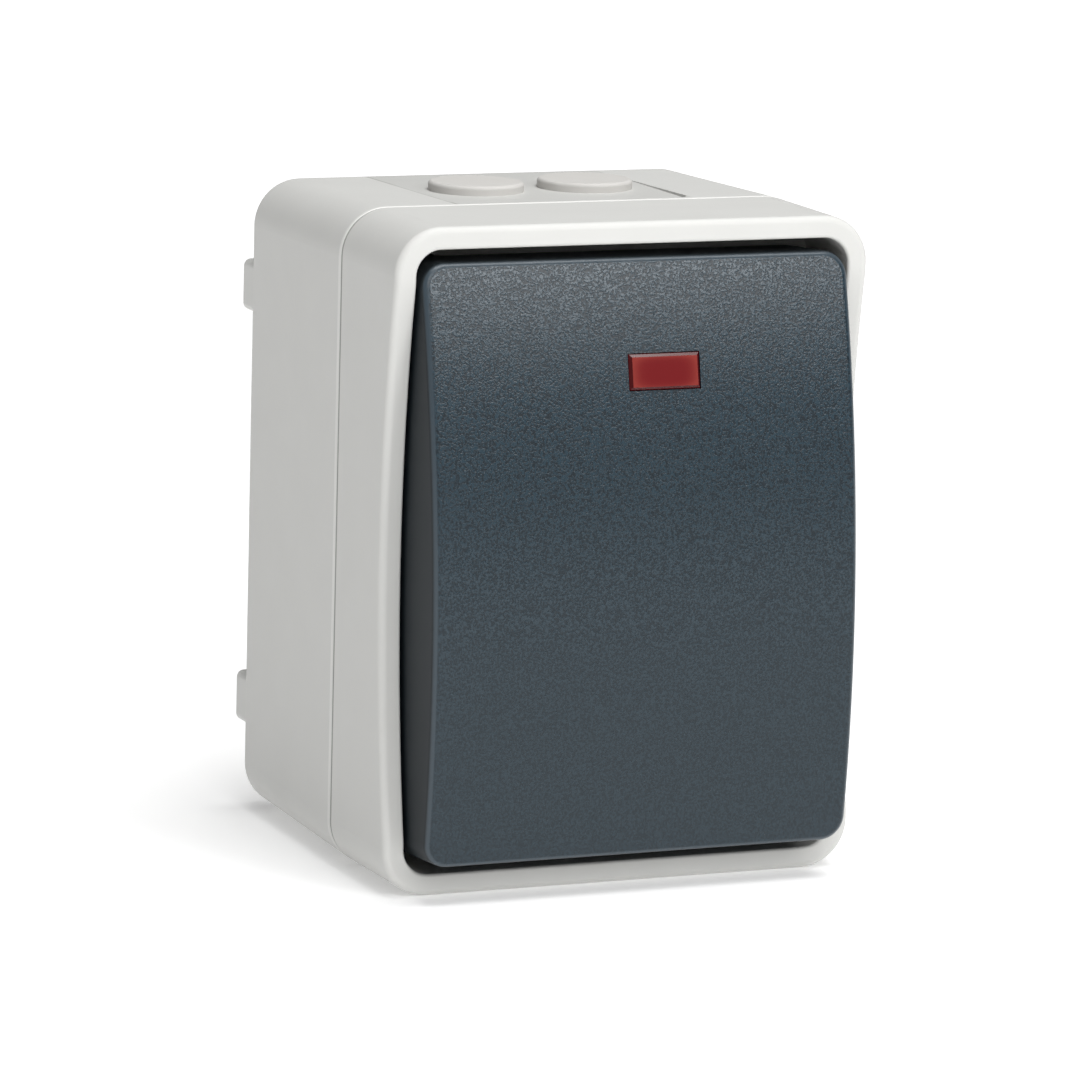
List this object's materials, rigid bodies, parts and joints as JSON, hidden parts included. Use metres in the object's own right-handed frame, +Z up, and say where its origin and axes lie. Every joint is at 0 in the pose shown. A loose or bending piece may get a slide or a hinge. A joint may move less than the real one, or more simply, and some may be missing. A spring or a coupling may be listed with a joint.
{
  "type": "outdoor weatherproof switch",
  "caption": "Surface-mounted weatherproof rocker switch with a sealed two-shell grey housing, blind cable grommets on top, a large curved rocker and a red indicator lens.",
  "frame": {"origin": "middle of the four wall-screw holes, on the wall plane touched by the rear faces of the feet", "axes": "+Z up, +X to the right seen from the front, +Y into the wall, so the rocker faces -Y"},
  "size_m": [0.0656, 0.0642, 0.087],
  "materials": {
    "housing_plastic": "fine moulded satin, light grey",
    "grommet_rubber": "soft moulded, grey",
    "rocker_plastic": "grained, blue-grey",
    "lens_plastic": "clear red, polished",
    "seal_rubber": "moulded, black",
    "zinc_steel": "zinc plated",
    "spring_steel": "drawn wire",
    "brass": "stamped",
    "contact_silver": "silver alloy rivets",
    "base_plastic": "moulded thermoset, ivory",
    "cradle_plastic": "moulded acetal, natural white",
    "lamp_glass": "clear blown glass"
  },
  "bodies": {
    "housing": {"rear_box": "housing_plastic", "front_cover": "housing_plastic", "left_cable_grommet": "grommet_rubber", "right_cable_grommet": "grommet_rubber", "housing_seal": "seal_rubber", "insert_seal": "seal_rubber", "cover_screw_seals": "seal_rubber", "cover_screws": "zinc_steel", "support_plate": "zinc_steel", "insert_screws": "zinc_steel", "terminal_screws": "zinc_steel", "earth_terminal_screw": "zinc_steel", "common_terminal": "brass", "upper_contact_terminal": "brass", "lower_contact_terminal": "brass", "earth_terminal": "brass", "base_rivets": "brass", "fixed_contacts": "contact_silver", "switch_base": "base_plastic", "lamp_holder": "base_plastic", "neon_lamp": "lamp_glass"},
    "rocker_body": {"rocker": "rocker_plastic", "indicator_lens": "lens_plastic", "rocker_cradle": "cradle_plastic", "toggle_plunger": "cradle_plastic", "toggle_spring": "spring_steel"},
    "lever_body": {"contact_lever": "brass", "moving_contacts": "contact_silver"}
  },
  "joints": [
    {"name": "rocker_tilt", "type": "hinge", "parent": "housing", "child": "rocker_body", "pos_m": [0, -0.0556, 0], "axis": [1, 0, 0], "range_deg": [0, 8.2]},
    {"name": "lever_tilt", "type": "hinge", "parent": "housing", "child": "lever_body", "pos_m": [0, -0.0362, 0], "axis": [1, 0, 0], "range_deg": [-8.2, 0]}
  ],
  "couplings": [
    {"joint": "lever_tilt", "follows": "rocker_tilt", "ratio": -1}
  ]
}
